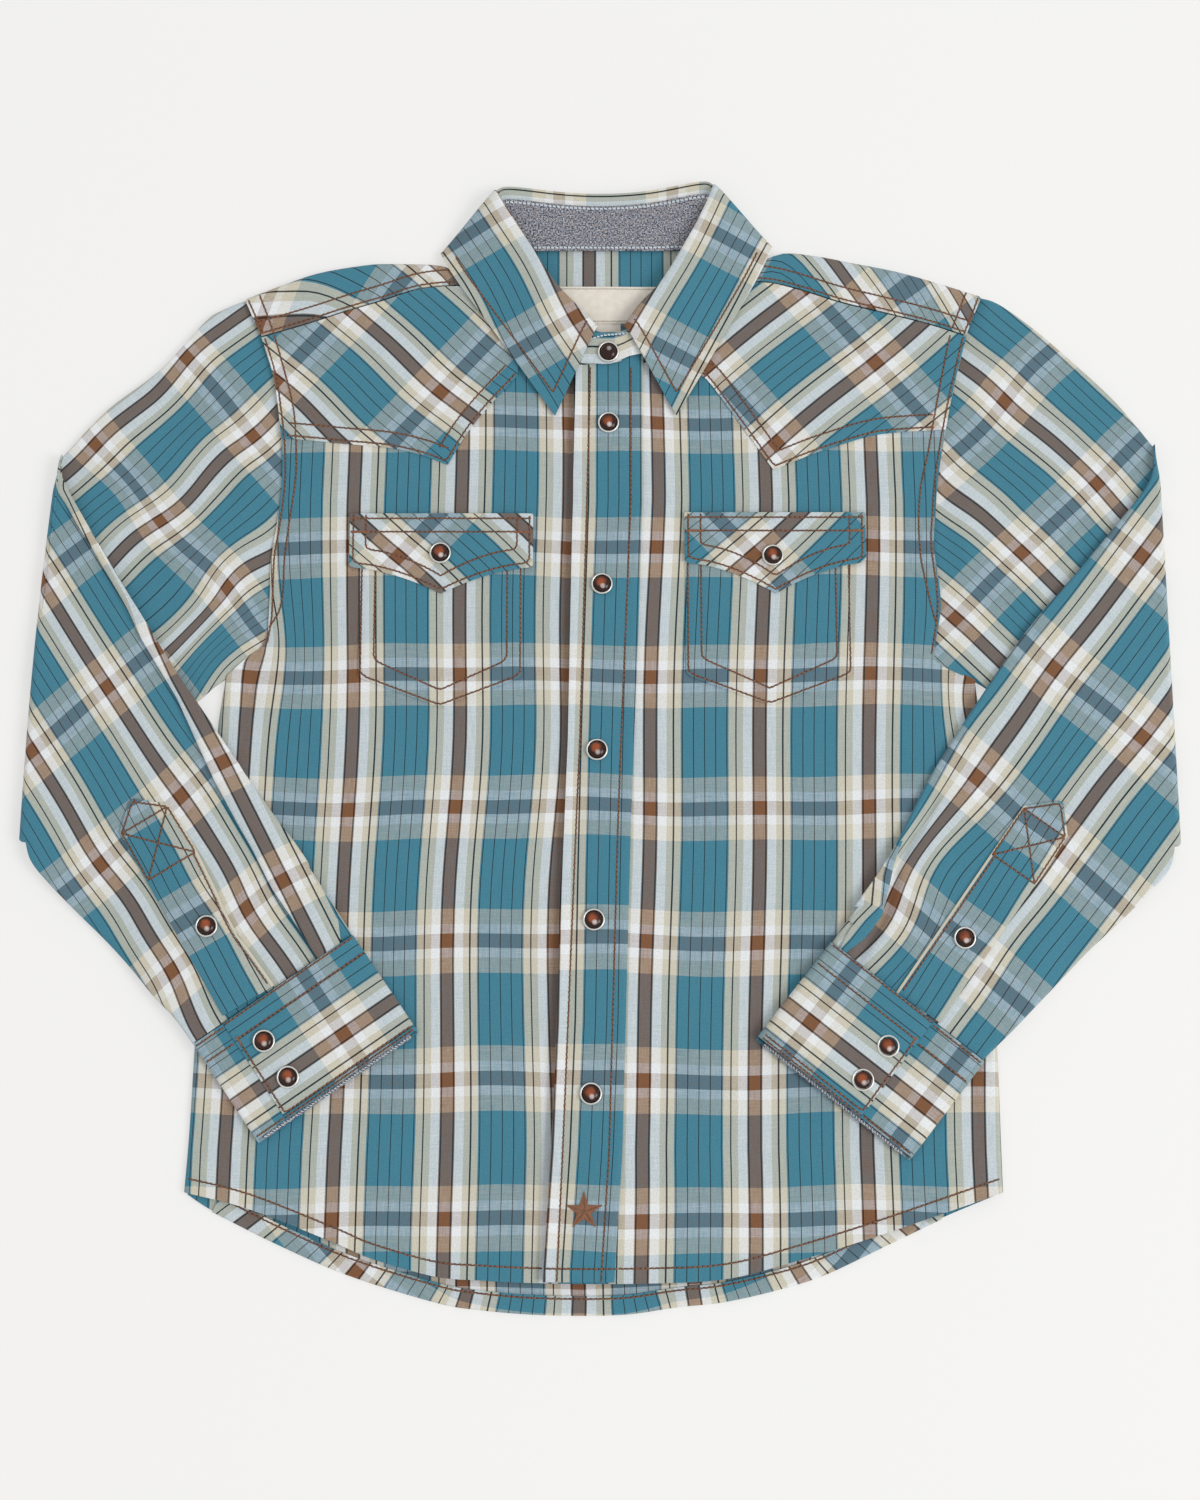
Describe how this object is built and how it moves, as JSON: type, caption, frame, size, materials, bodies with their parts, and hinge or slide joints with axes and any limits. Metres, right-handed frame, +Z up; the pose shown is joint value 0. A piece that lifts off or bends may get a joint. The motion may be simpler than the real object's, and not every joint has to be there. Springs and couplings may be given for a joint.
{
  "type": "western snap shirt",
  "caption": "Child's long-sleeved plaid western shirt laid flat, with pointed yokes, flap pockets, pearl snaps and folded sleeves.",
  "frame": {"origin": "on the surface under the middle of the shirt's outline", "axes": "+X to the wearer's left, +Y from the hem to the collar, +Z up from the surface that the shirt lies on"},
  "size_m": [0.5747, 0.5732, 0.0115],
  "materials": {
    "cloth": "teal, cream and brown plaid cotton, matte",
    "cloth_bias": "the same plaid cut on the bias, matte",
    "chambray": "blue-grey chambray, matte",
    "label": "bare cream woven label",
    "snap_ring": "polished",
    "snap_cap": "red-brown pearl, glossy"
  },
  "bodies": {
    "root": {"back": "cloth", "back_yoke": "cloth", "front_right": "cloth", "front_left": "cloth", "placket": "cloth", "pocket_right": "cloth", "pocket_left": "cloth", "collar_stand": "cloth", "sleeve_right": "cloth", "sleeve_left": "cloth", "sleeve_placket_right": "cloth", "sleeve_placket_left": "cloth", "cuff_right": "cloth", "cuff_left": "cloth", "yoke_right": "cloth_bias", "yoke_left": "cloth_bias", "flap_right": "cloth_bias", "flap_left": "cloth_bias", "collar": "cloth_bias", "stand_lining": "chambray", "cuff_facing_right": "chambray", "cuff_facing_left": "chambray", "label": "label", "snap_ring_01": "snap_ring", "snap_ring_02": "snap_ring", "snap_ring_03": "snap_ring", "snap_ring_04": "snap_ring", "snap_ring_05": "snap_ring", "snap_ring_06": "snap_ring", "snap_ring_07": "snap_ring", "snap_ring_08": "snap_ring", "snap_ring_09": "snap_ring", "snap_ring_10": "snap_ring", "snap_ring_11": "snap_ring", "snap_ring_12": "snap_ring", "snap_ring_13": "snap_ring", "snap_ring_14": "snap_ring", "snap_cap_01": "snap_cap", "snap_cap_02": "snap_cap", "snap_cap_03": "snap_cap", "snap_cap_04": "snap_cap", "snap_cap_05": "snap_cap", "snap_cap_06": "snap_cap", "snap_cap_07": "snap_cap", "snap_cap_08": "snap_cap", "snap_cap_09": "snap_cap", "snap_cap_10": "snap_cap", "snap_cap_11": "snap_cap", "snap_cap_12": "snap_cap", "snap_cap_13": "snap_cap", "snap_cap_14": "snap_cap"}
  },
  "joints": []
}
